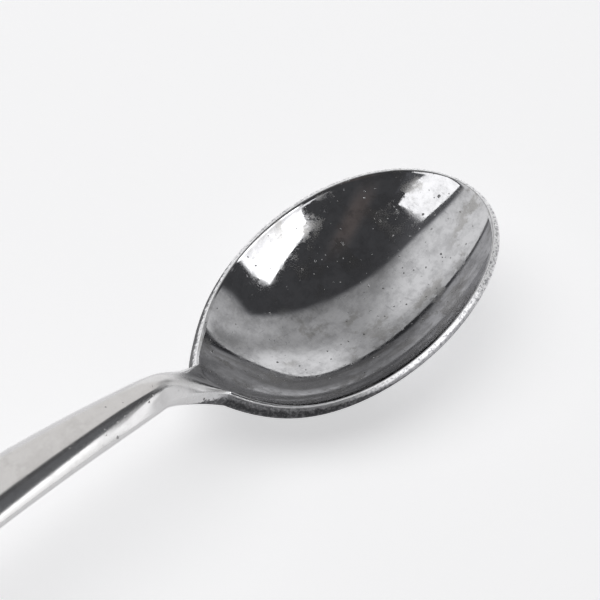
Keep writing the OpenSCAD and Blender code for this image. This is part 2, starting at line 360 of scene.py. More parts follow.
# %% Border of the heel's patch
HEEL_HALF_COLUMNS = 12
HEEL_WALL_ROWS = 14
first_row = ROWS["Hollow Rows"]
patch_rows = ROWS["Edge Rows"] + HEEL_WALL_ROWS
patch_columns = 2 * HEEL_HALF_COLUMNS
first_column = ROWS["Columns"] // 2 - HEEL_HALF_COLUMNS
lookup = {}
for index in range(count):
    lookup[int(round(shell_rows[index])), int(round(shell_columns[index]))] = index


def patch_index(r, c):
    return lookup[first_row + r, first_column + c]


border = [(0, c) for c in range(patch_columns + 1)]
border += [(r, patch_columns) for r in range(1, patch_rows + 1)]
border += [(patch_rows, patch_columns - c) for c in range(1, patch_columns + 1)]
border += [(patch_rows - r, 0) for r in range(1, patch_rows)]
print("border of", len(border), "points")

# %% [markdown]
# ## The handle's cross sections
# The neck and the handle are forged from the same blank. Their section is a low dome with soft shoulders over
# a flatter underside. The dome is one cubic curve on each side, and the shoulder and the edge are part of a
# circle, so the light runs along the handle in clean bands. A bevelled curve can't change its section on the
# way, so each section is a loop of its own.

# %% One cross section, in mm
SIDE_SHARE = 0.25
SHOULDER = math.radians(60)
SHOULDER_FULLNESS = 0.62
CROWN_FLATNESS = 0.44


def section(half, thick, crown, flatness=CROWN_FLATNESS):
    """Loop of (across, height over the underside): over the top, down, back underneath and up."""
    side = thick * SIDE_SHARE
    shoulder_y = half - side * (1 - math.sin(SHOULDER))
    shoulder_z = side * (1 + math.cos(SHOULDER))
    rise = (thick - shoulder_z) * crown
    reach = rise / math.sin(SHOULDER) * SHOULDER_FULLNESS
    top = np.array([0.0, shoulder_z + rise])
    beside = np.array([flatness * shoulder_y, shoulder_z + rise])
    corner = np.array([shoulder_y, shoulder_z])
    above = corner + reach * np.array([-math.cos(SHOULDER), math.sin(SHOULDER)])
    half_top = []
    for c in range(HEEL_HALF_COLUMNS + 1):
        t = c / HEEL_HALF_COLUMNS
        point = (1 - t)**3 * top + 3 * (1 - t)**2 * t * beside + 3 * (1 - t) * t**2 * above + t**3 * corner
        half_top.append(tuple(point))
    lower = []
    for r in range(patch_rows + 1):
        turn = SHOULDER + (math.pi - SHOULDER) * r / patch_rows
        lower.append((half - side + side * math.sin(turn), side + side * math.cos(turn)))
    foot = half - side
    loop = half_top[::-1] + [(-y, z) for y, z in half_top[1:]]
    loop += [(-y, z) for y, z in lower[1:]]
    loop += [(-foot + 2 * foot * c / patch_columns, 0.0) for c in range(1, patch_columns + 1)]
    loop += [(y, z) for y, z in reversed(lower[1:-1])]
    return np.array(loop)


def set_section(loop, x, z, thick, slope):
    """Stands a section across the handle, with its top at (x, z) and its tilt from the slope there."""
    h = loop[:, 1] - thick
    tilt = math.atan(slope)
    return np.stack([x + h * math.sin(tilt), loop[:, 0], z + h * math.cos(tilt)], -1)


print("a section has", len(section(1.0, 1.0, 1.0)), "points")

# %% [markdown]
# ## The stem
# From the neck the stem runs over a low arch and widens evenly. Its middle line is one cubic curve between
# two places with given slopes. A spline would do the same, but here the ends stay where they are named.

# %% Measures and sections of the stem, in mm
NECK = {"width": 4.9, "thick": 3.9, "reach": 8.0, "rise": 6.1, "slope": math.tan(math.radians(14))}
STEM = {
    "length": 38.0,
    "width": 10.6,
    "thick": 4.1,
    "rise": 1.6,
    "slope": math.tan(math.radians(5)),
    "flare": 1.3,
    "leave": 0.5,
}
NECK_FLATNESS = 0.72
FLAT_REACH = 0.32
STEP = 1e-3

heel_top = shell_points[patch_index(0, HEEL_HALF_COLUMNS)]
neck_x, neck_z = heel_top[0] - NECK["reach"], heel_top[2] + NECK["rise"]
stem_x, stem_z = neck_x - STEM["length"], neck_z + STEM["rise"]


def hermite(p0, m0, p1, m1, t):
    return ((2 * t**3 - 3 * t**2 + 1) * p0 + (t**3 - 2 * t**2 + t) * m0
            + (3 * t**2 - 2 * t**3) * p1 + (t**3 - t**2) * m1)


def smooth(t):
    return t * t * (3 - 2 * t)


def stem_line(t):
    start, finish = np.array([neck_x, neck_z]), np.array([stem_x, stem_z])
    leave = np.array([-STEM["length"], NECK["slope"] * STEM["length"]]) * STEM["leave"]
    arrive = np.array([-STEM["length"], -STEM["slope"] * STEM["length"]])
    return hermite(start, leave, finish, arrive, t)


def stem_section(t):
    x, z = stem_line(t)
    (x0, z0), (x1, z1) = stem_line(t - STEP), stem_line(t + STEP)
    thick = NECK["thick"] + (STEM["thick"] - NECK["thick"]) * smooth(t)
    flare = STEM["width"] - NECK["width"]
    half = hermite(NECK["width"], STEM["flare"] * flare, STEM["width"], flare, t) / 2
    flatness = NECK_FLATNESS + (CROWN_FLATNESS - NECK_FLATNESS) * smooth(min(1.0, t / FLAT_REACH))
    return set_section(section(half, thick, 1, flatness), x, z, thick, (z1 - z0) / (x0 - x1))


print("stem from x", round(neck_x, 1), "to", round(stem_x, 1), "mm")

# %% [markdown]
# ## The end of the handle
# The broad end comes down to the table, thins out, and closes in a round tip. Its last part lies flat, and
# this is where the spoon rests. Towards the tip the crown sinks with the width, so the end is rounded off
# all round, as a worn blank is.

# %% Measures and sections of the handle's end, in mm
END = {"length": 55.5, "width": 18.0, "thick": 2.0, "round": 9.5, "rest": 7.0, "blunt": 1.08, "power": 2.3}

end_x = stem_x - END["length"]
rest_x = end_x + END["rest"]
rest_z = END["thick"]
fall_length = stem_x - rest_x


def arch(u, power):
    return max(0.0, 1 - abs(u) ** power) ** (1 / power)


def end_line(x):
    if x < rest_x:
        return rest_z
    return hermite(stem_z, -STEM["slope"] * fall_length, rest_z, 0.0, (stem_x - x) / fall_length)


def end_section(x):
    slope = (end_line(x - STEP) - end_line(x + STEP)) / (2 * STEP)
    t = min(1.0, (stem_x - x) / fall_length)
    thick = STEM["thick"] + (END["thick"] - STEM["thick"]) * smooth(t)
    widen = min(1.0, (stem_x - x) / (END["length"] - END["round"]))
    flare = hermite(STEM["width"] / 2, (STEM["width"] - NECK["width"]) / 2, END["width"] / 2, 0.0, widen)
    crown = arch(max(0.0, (end_x + END["round"] - x) / END["round"]), END["power"])
    sink = thick * (1 - SIDE_SHARE * (1 + math.cos(SHOULDER))) * (1 - crown)
    half = max(flare * crown, END["blunt"])
    return set_section(section(half, thick, crown), x, end_line(x) - sink, thick - sink, slope)


STEM_SECTIONS = 76
END_SECTIONS = 80
TIP_SECTIONS = 40
handle_loops = [stem_section(k / STEM_SECTIONS) for k in range(1, STEM_SECTIONS + 1)]
straight = END["length"] - END["round"]
handle_loops += [end_section(stem_x - straight * k / END_SECTIONS) for k in range(1, END_SECTIONS + 1)]
for k in range(1, TIP_SECTIONS + 1):
    handle_loops.append(end_section(end_x + END["round"] * (1 - math.sin(math.pi / 2 * k / TIP_SECTIONS))))
print("handle", len(handle_loops), "sections, tip at", round(end_x, 1), "mm")

# %% [markdown]
# ## The neck
# The neck grows out of the heel: its top face starts at the hollow's edge, and its sides and underside run
# out of the outer wall in a tight curve. Bridging two rings with a tool would draw straight lines between
# them. Here each line is one cubic curve from the bowl's surface, which it leaves along the wall, to the
# first section of the stem.

# %% Lines of the neck from the heel to the stem
NECK_LEAVE = {"top": 0.5, "side": 0.36, "under": 1.2, "far": 0.9, "clear": 0.25, "along": 0.9, "climb": 0.6}
NECK_SECTIONS = 40
HEEL_SLOPE = math.radians(40)
TOP_POWER = 1.5
SIDE_POWER = 6
LOW_POWER = 5
FIRST_WALL_ROW = ROWS["Edge Rows"] + 2


def unit(vector):
    return vector / np.linalg.norm(vector)


shell_normals = np.zeros(count * 3)
shell_mesh.vertices.foreach_get("normal", shell_normals)
shell_normals = shell_normals.reshape(-1, 3)
bottom_middle = patch_index(patch_rows, HEEL_HALF_COLUMNS)
wall_sign = 1.0 if shell_normals[bottom_middle][2] < 0 else -1.0
neck_up = np.array([-math.cos(HEEL_SLOPE), 0.0, math.sin(HEEL_SLOPE)])


def patch_point(r, c):
    return shell_points[patch_index(r, c)]


def neck_leave(r, c):
    """The way and the reach with which the neck's line leaves the shell at row r and column c."""
    u = c / HEEL_HALF_COLUMNS - 1
    top = (1 - min(1.0, r / ROWS["Edge Rows"])) ** TOP_POWER
    side, low = abs(u) ** SIDE_POWER, (r / patch_rows) ** LOW_POWER
    along = unit(patch_point(r, c + (1 if u < 0 else -1)) - patch_point(r, c))
    low_row = max(r, FIRST_WALL_ROW)
    climb = unit(patch_point(low_row - 1, c) - patch_point(low_row, c))
    out = wall_sign * shell_normals[patch_index(low_row, c)]
    direction = top * neck_up + side * along * (1 - (1 - NECK_LEAVE["along"]) * top)
    direction = direction + low * climb * (1 if r == patch_rows else NECK_LEAVE["climb"])
    direction = direction + (1 - top) * NECK_LEAVE["clear"] * out
    reach = NECK_LEAVE["side"] + (NECK_LEAVE["under"] - NECK_LEAVE["side"]) * low
    reach = top * NECK_LEAVE["top"] + (1 - top) * reach
    return unit(direction) * NECK["reach"] * reach


leaves = np.array([neck_leave(r, c) for r, c in border])
starts = np.array([patch_point(r, c) for r, c in border])
neck_section = section(NECK["width"] / 2, NECK["thick"], 1, NECK_FLATNESS)
neck_end = set_section(neck_section, neck_x, neck_z, NECK["thick"], NECK["slope"])
widening = STEM["flare"] * (STEM["width"] / NECK["width"] - 1) / STEM["length"]
arrivals = np.array([[-1.0, y * widening, NECK["slope"]] for y in neck_end[:, 1]])
arrivals = arrivals * NECK["reach"] * NECK_LEAVE["far"]
neck_loops = []
for k in range(1, NECK_SECTIONS + 1):
    neck_loops.append(hermite(starts, leaves, neck_end, arrivals, k / NECK_SECTIONS))
print("neck lines", len(starts), "from the heel to x", round(neck_x, 1), "mm")

# %% [markdown]
# ## One piece of metal
# Shell, neck and handle become one closed mesh: the patch of the bowl that the neck covers is taken out, and
# the loops are sewn to its border. A boolean union would leave a seam that a mirror shows. Four attributes
# say where each point lies, for the finish: on the ground edge, on the outer wall, on the handle, and how
# deep below the start of the edge.

# %% Sew the spoon together
EDGE_ZONE = (3, 12)
EDGE_FADE_ROWS = 3
HANDLE_FADE_LOOPS = 24
spoon_mesh = bpy.data.meshes.new("spoon")
sewing = bmesh.new()
sewing.from_mesh(shell_mesh)
sewing.verts.ensure_lookup_table()
edge_zone = sewing.verts.layers.float.new("edge zone")
outer_zone = sewing.verts.layers.float.new("outer zone")
handle_zone = sewing.verts.layers.float.new("handle zone")
edge_depth = sewing.verts.layers.float.new("edge depth")
for vertex in sewing.verts:
    past = shell_rows[vertex.index] - ROWS["Hollow Rows"]
    vertex[edge_zone] = 1.0 if EDGE_ZONE[0] <= past <= EDGE_ZONE[1] else 0.0
    vertex[outer_zone] = min(1.0, max(0.0, (past - EDGE_ZONE[1]) / EDGE_FADE_ROWS))
    vertex[edge_depth] = (past - EDGE_ZONE[0]) / (EDGE_ZONE[1] - EDGE_ZONE[0])


def patch_face(r, c):
    corners = {patch_index(r + i, c + j) for i in (0, 1) for j in (0, 1)}
    around = sewing.verts[patch_index(r, c)].link_faces
    return next(f for f in around if {v.index for v in f.verts} == corners)


covered = [patch_face(r, c) for r in range(patch_rows) for c in range(patch_columns)]
previous = [sewing.verts[patch_index(r, c)] for r, c in border]
for number, loop in enumerate(neck_loops + handle_loops):
    ring = [sewing.verts.new(p * MM) for p in loop]
    fade = min(1.0, number / HANDLE_FADE_LOOPS)
    for i, vertex in enumerate(ring):
        vertex[handle_zone] = fade
        vertex[edge_zone] = previous[i][edge_zone] * (1 - fade)
        vertex[outer_zone] = previous[i][outer_zone] * (1 - fade)
        vertex[edge_depth] = previous[i][edge_depth]
    for i, vertex in enumerate(ring):
        j = (i + 1) % len(ring)
        sewing.faces.new((previous[i], previous[j], ring[j], vertex))
    previous = ring
sewing.faces.new(previous)
bmesh.ops.delete(sewing, geom=covered, context="FACES")
bmesh.ops.recalc_face_normals(sewing, faces=sewing.faces)
for face in sewing.faces:
    face.smooth = True
volume = sewing.calc_volume(signed=True)
sewing.to_mesh(spoon_mesh)
sewing.free()
if volume < 0:
    spoon_mesh.flip_normals()
spoon_mesh.materials.append(steel)
spoon = bpy.data.objects.new("spoon", spoon_mesh)
bpy.context.scene.collection.objects.link(spoon)
print("spoon", len(spoon_mesh.polygons), "faces, volume", round(abs(volume) / MM**3), "mm3")

# %% [markdown]
# ## The steel
# Polished stainless steel is a light grey mirror. Years in a drawer and a dishwasher leave stains, hairline
# scratches and small pits in it. They could be painted on an image, but noise in object coordinates needs no
# file and keeps its real size, so each pattern below is given in millimetres. Every pattern is a share from
# 0 to 1, made once and then used for the colour, the gloss and the relief.
#
# The four attributes and the place itself say which part of the spoon a point is on. Five noises of
# different sizes are mixed below, each given by its size in mm, its detail and its roughness. Stains are
# where two of them are high together, so they come in groups, and dull patches follow the finer ones. A
# MapRange node turns a measure into a share: its numbers are (from, to), or (from, to, value at from, value
# at to).

# %% Zones, noises, stains and dull patches
ZONES = ("edge zone", "outer zone", "handle zone", "edge depth")
NOISES = {
    "cloud": (9.0, 3.0, 0.55),
    "patch": (3.2, 4.0, 0.65),
    "mottle": (1.5, 5.0, 0.7),
    "grain": (0.42, 3.0, 0.7),
    "coarse grain": (0.9, 4.0, 0.75),
}
STAIN_PATCH = (0.5, 0.6)
STAIN_CLOUD = (0.42, 0.55)
DULL_MOTTLE_SHARE = 0.6
DULL_RANGE = (0.4, 0.62)

tree = steel.node_tree
shader = tree.nodes["Principled BSDF"]
add = partial(add_node, tree)
place = add("TexCoord").outputs["Object"]
edge, outer, handle, depth = (add("Attribute", attribute_name=zone).outputs["Fac"] for zone in ZONES)
hollow = add("Math SUBTRACT", 1.0, add("Math MAXIMUM", add("Math MAXIMUM", edge, outer), handle))
spot = add("SeparateXYZ", place)
along, across = spot.outputs[0], spot.outputs[1]
cloud, patch, mottle, grain, coarse_grain = (add("TexNoise", inputs={
    "Vector": place, "Scale": 1 / (size_mm * MM), "Detail": detail, "Roughness": roughness,
}) for size_mm, detail, roughness in NOISES.values())

stain = add(
    "Math MULTIPLY",
    add("MapRange SMOOTHSTEP", patch, *STAIN_PATCH),
    add("MapRange SMOOTHSTEP", cloud, *STAIN_CLOUD),
)
dull = add(
    "Math ADD",
    add("Math MULTIPLY", mottle, DULL_MOTTLE_SHARE),
    add("Math MULTIPLY", patch, 1 - DULL_MOTTLE_SHARE),
)
dull = add("MapRange SMOOTHSTEP", dull, *DULL_RANGE)
print("steel noises in mm", {name: values[0] for name, values in NOISES.items()})

# %% [markdown]
# Pits are round holes that rust has eaten, each in a cell of its own and with its own size. A cell pattern
# gives the place and the chance, and a little noise in the place makes their outlines ragged. Specks are
# smaller and stand out. Both fade out along the neck, because the handle has hardly any of them.

# %% Pits and specks
SMALL_PITS = {"cell_mm": 1.1, "radius_mm": 0.2, "share": 0.5}
LARGE_PITS = {"cell_mm": 3.0, "radius_mm": 0.26, "share": 0.4}
SPECKS = {"cell_mm": 0.8, "radius_mm": 0.12, "share": 0.6}
SPECK_SCALES = (1.13, 0.91, 1.07)
PIT_SOFTNESS = 0.5
RAGGED_SIZE_MM = 0.35
RAGGED_REACH_MM = 0.3
PITS_BEGIN = (-2 * MM, 12 * MM)


def pits(place, cell_mm, radius_mm, share):
    """Round pits: one in a share of the cells, each of its own size."""
    cell = add("TexVoronoi", inputs={"Vector": place, "Scale": 1 / (cell_mm * MM)})
    chance = add("SeparateXYZ", cell.outputs["Color"]).outputs[0]
    radius = add("MapRange SMOOTHSTEP", chance, 1 - share, 1.0, 0.0, radius_mm / cell_mm)
    inside = add("Math SUBTRACT", radius, cell.outputs["Distance"])
    return add("MapRange SMOOTHSTEP", inside, 0.0, radius_mm / cell_mm * PIT_SOFTNESS)


ragged = add("TexNoise", inputs={"Vector": place, "Scale": 1 / (RAGGED_SIZE_MM * MM)}).outputs["Color"]
ragged = add("VectorMath SCALE", ragged, inputs={"Scale": RAGGED_REACH_MM * MM})
pit_place = add("VectorMath ADD", place, ragged)
near_bowl = add("MapRange SMOOTHSTEP", along, *PITS_BEGIN)
all_pits = add("Math MAXIMUM", pits(pit_place, **SMALL_PITS), pits(pit_place, **LARGE_PITS))
all_pits = add("Math MULTIPLY", all_pits, near_bowl)
speck_place = add("Mapping", inputs={"Vector": pit_place, "Scale": SPECK_SCALES})
specks = add("Math MULTIPLY", pits(speck_place, **SPECKS), near_bowl)
print("pits up to", 2 * LARGE_PITS["radius_mm"], "mm wide")

# %% [markdown]
# Hairlines come from stirring and from washing up. They are noise drawn out about six times one way and six
# times the other, of which only the peaks are kept. They show in the hollow, and most where the steel is
# patchy.

# %% Hairline scratches in the hollow
HAIR_MM = 0.34
HAIR_DETAIL = 1.0
HAIRS_LENGTHWISE = {"scales": (0.16, 0.9, 1.0), "peaks": (0.64, 0.74)}
HAIRS_CROSSWISE = {"scales": (1.0, 0.16, 0.8), "peaks": (0.66, 0.76)}
HAIR_PATCHES = (0.4, 0.55, 0.3, 1.0)


def hairlines(scales, peaks):
    drawn = add("Mapping", inputs={"Vector": place, "Scale": scales})
    hair = add("TexNoise", inputs={"Vector": drawn, "Scale": 1 / (HAIR_MM * MM), "Detail": HAIR_DETAIL})
    return add("MapRange SMOOTHSTEP", hair, *peaks)


hairs = add("Math MAXIMUM", hairlines(**HAIRS_LENGTHWISE), hairlines(**HAIRS_CROSSWISE))
hairs = add(
    "Math MULTIPLY", add("Math MULTIPLY", hairs, hollow), add("MapRange SMOOTHSTEP", patch, *HAIR_PATCHES),
)
print("hairlines", HAIR_MM, "mm")

# %% [markdown]
# The wall close under the edge is darker, from the root of the neck to about the middle of the bowl. The
# dark starts at a depth under the edge that changes along the bowl, and a coarse grain makes its border
# ragged.

# %% Darker strip under the edge
UNDER_RIM_HEEL = (14 * MM, 27 * MM, 2.5, 0.3)
UNDER_RIM_TIP = (38 * MM, 54 * MM, 0.0, 0.9)
UNDER_RIM_RAGGEDNESS = 0.9
UNDER_RIM_SOFTNESS = 0.2
UNDER_RIM_FADE = (60 * MM, 42 * MM, 0.2, 1.0)
UNDER_RIM_BEGIN = (15 * MM, 21 * MM)

start = add(
    "Math ADD",
    add("MapRange SMOOTHSTEP", along, *UNDER_RIM_HEEL),
    add("MapRange SMOOTHSTEP", along, *UNDER_RIM_TIP),
)
ragged_depth = add(
    "Math ADD", depth, add("Math MULTIPLY", add("Math SUBTRACT", coarse_grain, 0.5), UNDER_RIM_RAGGEDNESS),
)
below = add("Math SUBTRACT", ragged_depth, start)
# The darker strip on the wall under the edge, near the heel.
under_rim = add(
    "Math MULTIPLY",
    add("MapRange SMOOTHSTEP", below, 0.0, UNDER_RIM_SOFTNESS),
    add("MapRange SMOOTHSTEP", along, *UNDER_RIM_FADE),
)
under_rim = add("Math MULTIPLY", under_rim, add("MapRange SMOOTHSTEP", along, *UNDER_RIM_BEGIN))
print("dark strip under the rim from x", round(UNDER_RIM_BEGIN[0] / MM), "to", round(UNDER_RIM_FADE[0] / MM), "mm")

# %% [markdown]
# The colour is laid on in layers, from the clean steel up. Metal has no colour under its shine, so a layer
# only makes the mirror darker or a little warmer: stains brown it, pits hold dirt, and the handle is lighter
# because hands keep it clean.

# %% Colour of the polished faces
COLOURS = {
    "polish": "#CBCCCE",
    "hollow": "#C3C3C5",
    "dull": "#98989A",
    "handle": "#CDCCCC",
    "stain": "#8E8C88",
    "pit": "#454443",
    "hair": "#77777A",
    "dark grain": "#A6A6A9",
    "bright grain": "#F6F6F7",
    "edge shade": "#5E5E61",
    "outer edge shade": "#6C6C6F",
    "edge highlight": "#F2F2F3",
    "dark under rim": "#505052",
    "light under rim": "#78787A",
}
DULL_STRENGTH = 0.6
HANDLE_STRENGTH = 0.85
STAIN_STRENGTH = 0.5
HANDLE_CLEANNESS = 0.8
PIT_STRENGTH = 0.65
HAIR_STRENGTH = 0.25


def linear(hex_colour):
    """sRGB hex to the linear colour that Blender works in."""
    parts = [int(hex_colour[i:i + 2], 16) / 255 for i in (1, 3, 5)]
    return [p / 12.92 if p <= 0.04045 else ((p + 0.055) / 1.055) ** 2.4 for p in parts] + [1.0]


def layered(tree, colour, *layers):
    """Lays colours on one after another. A Mix node's colours are its sockets 6 and 7, and its output 2."""
    for share, top in layers:
        top = linear(top) if isinstance(top, str) else top
        colour = add_node(tree, "Mix RGBA", inputs={0: share, 6: colour, 7: top}).outputs[2]
    return colour


off_handle = add("Math SUBTRACT", 1.0, add("Math MULTIPLY", handle, HANDLE_CLEANNESS))
colour = layered(
    tree,
    linear(COLOURS["polish"]),
    (hollow, COLOURS["hollow"]),
    (add("Math MULTIPLY", dull, DULL_STRENGTH), COLOURS["dull"]),
    (add("Math MULTIPLY", handle, HANDLE_STRENGTH), COLOURS["handle"]),
    (add("Math MULTIPLY", add("Math MULTIPLY", stain, STAIN_STRENGTH), off_handle), COLOURS["stain"]),
    (add("Math MULTIPLY", all_pits, PIT_STRENGTH), COLOURS["pit"]),
    (add("Math MULTIPLY", hairs, HAIR_STRENGTH), COLOURS["hair"]),
)
print("steel so far", len(tree.nodes), "nodes")

# %% [markdown]
# The rim's edge is ground flat on a belt and not polished, so it sparkles in grains. A painted highlight runs
# along its inner line, where it meets the hollow. On the side that faces the camera painted shade darkens the
# edge towards the neck, and more painted shade darkens its outer line.

# %% Colour of the ground edge with its painted light, and of the strip under it
EDGE_GRAINS = (0.36, 0.56)
EDGE_SHADE_ALONG = (50 * MM, 34 * MM, 0.0, 0.9)
EDGE_SHADE_ACROSS = (3 * MM, -4 * MM)
EDGE_SHADE_GRAINS = (0.35, 0.6, 0.35, 1.0)
OUTER_SHADE_DEPTH = (0.4, 0.65, 0.0, 0.8)
OUTER_SHADE_ACROSS = (4 * MM, -6 * MM)
OUTER_SHADE_ALONG = (66 * MM, 58 * MM)
EDGE_HIGHLIGHT_DEPTH = (0.16, 0.04)
UNDER_RIM_GRAINS = (0.45, 0.66)

# Painted shade on the camera's side of the ground edge, towards the neck, mottled by the grain.
edge_shade = add(
    "Math MULTIPLY",
    add("MapRange SMOOTHSTEP", along, *EDGE_SHADE_ALONG),
    add("MapRange SMOOTHSTEP", across, *EDGE_SHADE_ACROSS),
)
edge_shade = add("Math MULTIPLY", edge_shade, add("MapRange SMOOTHSTEP", grain, *EDGE_SHADE_GRAINS))
# Painted shade along the outer line of the ground edge, on the camera's side.
edge_outer_shade = add(
    "Math MULTIPLY",
    add("MapRange SMOOTHSTEP", depth, *OUTER_SHADE_DEPTH),
    add("MapRange SMOOTHSTEP", across, *OUTER_SHADE_ACROSS),
)
edge_outer_shade = add("Math MULTIPLY", edge_outer_shade, add("MapRange SMOOTHSTEP", along, *OUTER_SHADE_ALONG))
# The ground edge's colour: grains, painted shade and a painted highlight.
sparkle = layered(
    tree,
    linear(COLOURS["dark grain"]),
    (add("MapRange SMOOTHSTEP", grain, *EDGE_GRAINS), COLOURS["bright grain"]),
    (edge_shade, COLOURS["edge shade"]),
    (edge_outer_shade, COLOURS["outer edge shade"]),
    # Painted highlight along the inner line of the ground edge.
    (add("MapRange SMOOTHSTEP", depth, *EDGE_HIGHLIGHT_DEPTH), COLOURS["edge highlight"]),
)
# Colour of the darker strip under the edge, with lighter grains.
under_rim_grains = add("MapRange SMOOTHSTEP", grain, *UNDER_RIM_GRAINS)
under_rim_colour = layered(tree, linear(COLOURS["dark under rim"]), (under_rim_grains, COLOURS["light under rim"]))
colour = layered(tree, colour, (edge, sparkle), (under_rim, under_rim_colour))
tree.links.new(colour, shader.inputs["Base Color"])
print("colours", len(COLOURS))

# %% [markdown]
# Gloss tells clean metal from worn metal. The hollow is close to a mirror, stains and hairlines blur it a
# little, the handle is satin from use, and the ground edge, the outer wall and the darker strip under the
# edge are rough.

# %% Roughness
POLISH_ROUGHNESS = (0.4, 0.7, 0.03, 0.07)
HANDLE_ROUGHNESS = (16 * MM, 23 * MM, 0.17, 0.3)
DULL_ROUGHNESS = 0.06
MARK_ROUGHNESS = 0.08
EDGE_ROUGHNESS = 0.45
WALL_ROUGHNESS = 0.35
PIT_ROUGHNESS = 0.35

marks = add(
    "Math ADD", add("Math MULTIPLY", stain, MARK_ROUGHNESS), add("Math MULTIPLY", hairs, MARK_ROUGHNESS),
)
rough = add(
    "Math ADD",
    add(
        "Math ADD",
        add("MapRange SMOOTHSTEP", patch, *POLISH_ROUGHNESS),
        add("Math MULTIPLY", dull, DULL_ROUGHNESS),
    ),
    marks,
)
rough = add(
    "Math MAXIMUM",
    rough,
    add("Math MULTIPLY", handle, add("MapRange SMOOTHSTEP", along, *HANDLE_ROUGHNESS)),
)
rough = add("Math MAXIMUM", rough, add("Math MULTIPLY", edge, EDGE_ROUGHNESS))
rough = add(
    "Math MAXIMUM", rough, add("Math MULTIPLY", add("Math MAXIMUM", outer, under_rim), WALL_ROUGHNESS),
)
rough = add("Math ADD", rough, add("Math MULTIPLY", add("Math MAXIMUM", all_pits, specks), PIT_ROUGHNESS))
tree.links.new(rough.outputs[0], shader.inputs["Roughness"])
print("roughness from", POLISH_ROUGHNESS[2], "to about", EDGE_ROUGHNESS)

# %% [markdown]
# The relief is finer than any mesh should be, so it is bump with real depths. Pits go in and specks stand
# out, drawing lines run along the handle, and a swell of a few micrometres makes the reflections wander as
# they do in pressed metal.

# %% Relief
LENGTHWISE = {"scales": (0.03, 1.0, 1.0), "size_mm": 0.25}
CROSSWISE = {"scales": (1.0, 0.05, 1.0), "size_mm": 0.22}
LINE_NOISE = {"Detail": 2.0, "Roughness": 0.6}
CROSSWISE_SHARE = 0.25
WALL_GRAIN = 0.5


def drawing_lines(scales, size_mm):
    drawn = add("Mapping", inputs={"Vector": place, "Scale": scales})
    return add("TexNoise", inputs={"Vector": drawn, "Scale": 1 / (size_mm * MM)} | LINE_NOISE)


lengthwise = add("Math MULTIPLY", drawing_lines(**LENGTHWISE), handle)
scratches = add("Math ADD", lengthwise, add("Math MULTIPLY", drawing_lines(**CROSSWISE), CROSSWISE_SHARE))
ground = add(
    "Math MULTIPLY",
    grain,
    add("Math MAXIMUM", edge, add("Math MAXIMUM", add("Math MULTIPLY", outer, WALL_GRAIN), under_rim)),
)
MARK_MM = 0.05
SCRATCH_MM = 0.0025
PATCH_MM = 0.004
MOTTLE_MM = 0.002
GROUND_MM = 0.07
bump_inputs = {"Strength": 1.0}
for height, height_mm in (
    (add("Math SUBTRACT", specks, all_pits), MARK_MM),
    (scratches, SCRATCH_MM),
    (patch, PATCH_MM),
    (add("Math MULTIPLY", mottle, hollow), MOTTLE_MM),
    (ground, GROUND_MM),
):
    bump_inputs |= {"Height": height, "Distance": height_mm * MM}
    bump_inputs["Normal"] = add("Bump", inputs=bump_inputs).outputs[0]
tree.links.new(bump_inputs["Normal"], shader.inputs["Normal"])
shader.inputs["Metallic"].default_value = 1.0
print("steel", len(tree.nodes), "nodes")

# %% [markdown]
# ## The floor
# The spoon lies on white paper in a light tent. The paper shows no horizon and keeps the soft shadow. Part
# of its brightness is its own glow, which stands for the light that a tent throws from all sides, and which
# keeps the shadow pale.

# %% White paper floor
FLOOR_HALF = 1.6
PAPER_COLOUR = "#F4F4F5"
PAPER_GLOW_COLOUR = "#FBFBFC"
PAPER_ROUGHNESS = 0.7
PAPER_SPECULAR = 0.2
PAPER_GLOW = 0.6


def add_plane(name, corners, material):
    mesh = bpy.data.meshes.new(name)
    mesh.from_pydata([tuple(c) for c in corners], [], [(0, 1, 2, 3)])
    mesh.materials.append(material)
    plane = bpy.data.objects.new(name, mesh)
    bpy.context.scene.collection.objects.link(plane)
    return plane


paper = bpy.data.materials.new("white paper")
paper.use_nodes = True
paper_inputs = paper.node_tree.nodes["Principled BSDF"].inputs
paper_inputs["Base Color"].default_value = linear(PAPER_COLOUR)
paper_inputs["Roughness"].default_value = PAPER_ROUGHNESS
paper_inputs["Specular IOR Level"].default_value = PAPER_SPECULAR
paper_inputs["Emission Color"].default_value = linear(PAPER_GLOW_COLOUR)
paper_inputs["Emission Strength"].default_value = PAPER_GLOW
CORNER_SIGNS = ((-1, -1), (1, -1), (1, 1), (-1, 1))
add_plane("floor", [(x * FLOOR_HALF, y * FLOOR_HALF, 0) for x, y in CORNER_SIGNS], paper)
print("floor", 2 * FLOOR_HALF, "m wide")

# %% [markdown]
# ## The room that the steel mirrors
# A mirror has no looks of its own: what the hollow shows is the room, upside down. A picture of a room could
# stand round the spoon, but a rule needs no file and can be set part by part. The room is one dome, and its
# glow follows from the direction as seen from the bowl, which is measured away from the camera and to the
# right. Two small functions make materials that only glow.

# %% Directions and glowing materials
BOWL_PLACE = Vector((52, 0, 8)) * MM
away = Vector((-view_back.x, -view_back.y, 0)).normalized()
right = Vector((away.y, -away.x, 0))


def empty_material(name):
    material = bpy.data.materials.new(name)
    material.use_nodes = True
    material.node_tree.nodes.clear()
    return material


def add_glow(tree, colour, strength):
    glow = add_node(tree, "Emission", inputs={"Color": colour, "Strength": strength})
    add_node(tree, "OutputMaterial", glow)


print("away from the camera", [round(value, 3) for value in away])

# %% [markdown]
# On the camera's side the room is dark with a warm patch. On the far side it is a pale wall with a brighter
# sweep in the middle, and close to the floor that wall is as bright as the floor. The border between the two
# sides leans, and droops at both ends, as the line does that crosses the hollow in the photograph.

